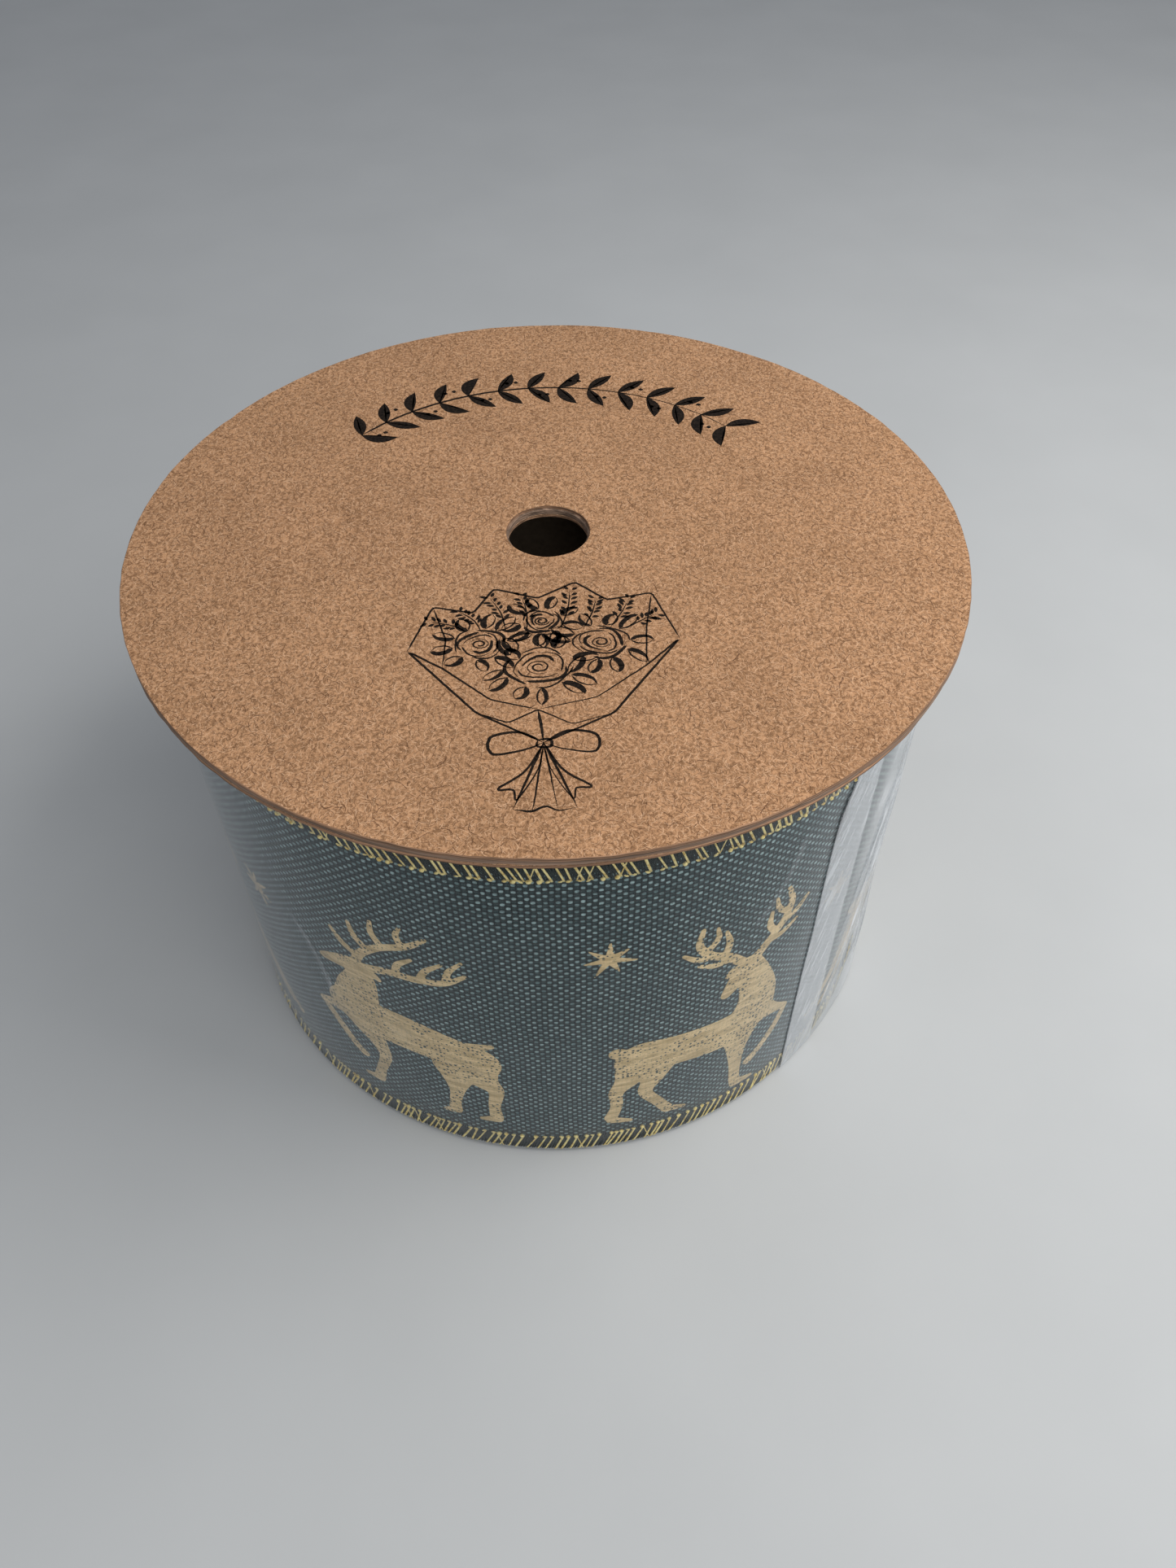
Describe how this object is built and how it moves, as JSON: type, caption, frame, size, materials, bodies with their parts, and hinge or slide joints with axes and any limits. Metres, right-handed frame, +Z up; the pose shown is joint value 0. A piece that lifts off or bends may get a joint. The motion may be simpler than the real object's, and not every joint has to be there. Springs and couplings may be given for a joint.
{
  "type": "ribbon spool",
  "caption": "Wired ribbon wound on a paper tube between a wide kraft disc and a thin base disc, with a clear film band round the roll, for gift wrapping.",
  "frame": {"origin": "centre of the base disc's underside, on the surface that the spool stands on", "axes": "+Z up along the spool's axis, through the rod hole; -Y towards the front, where the printed bouquet is"},
  "size_m": [0.097, 0.097, 0.0671],
  "materials": {
    "printed_kraft": "uncoated, speckled with fibres",
    "board": "raw cut edge",
    "plain_kraft": "uncoated",
    "tube_paper": "raw paper",
    "glue": "waxy",
    "ribbon_cloth": "plain weave, soft sheen",
    "foil_print": "printed pale gold, speckled",
    "stitching": "dark overlock thread crossed by gold yarn",
    "gold_yarn": "metallic yarn",
    "edge_wire": "bare drawn wire",
    "clear_film": "clear, glossy",
    "print_ink": "flat black ink"
  },
  "bodies": {
    "spool": {"top_cover_disc": "printed_kraft", "top_board_disc": "board", "top_liner_disc": "plain_kraft", "core_tube": "tube_paper", "top_glue_ring": "glue", "base_glue_ring": "glue", "base_disc": "plain_kraft"},
    "ribbon_roll": {"ribbon_web": "ribbon_cloth", "top_edge_stitching": "stitching", "bottom_edge_stitching": "stitching", "top_edge_wire": "edge_wire", "bottom_edge_wire": "edge_wire", "film_sleeve": "clear_film"}
  },
  "joints": [
    {"name": "roll_turn", "type": "hinge", "parent": "spool", "child": "ribbon_roll", "pos_m": [0, 0, 0.03235], "axis": [0, 0, 1], "continuous": true}
  ]
}
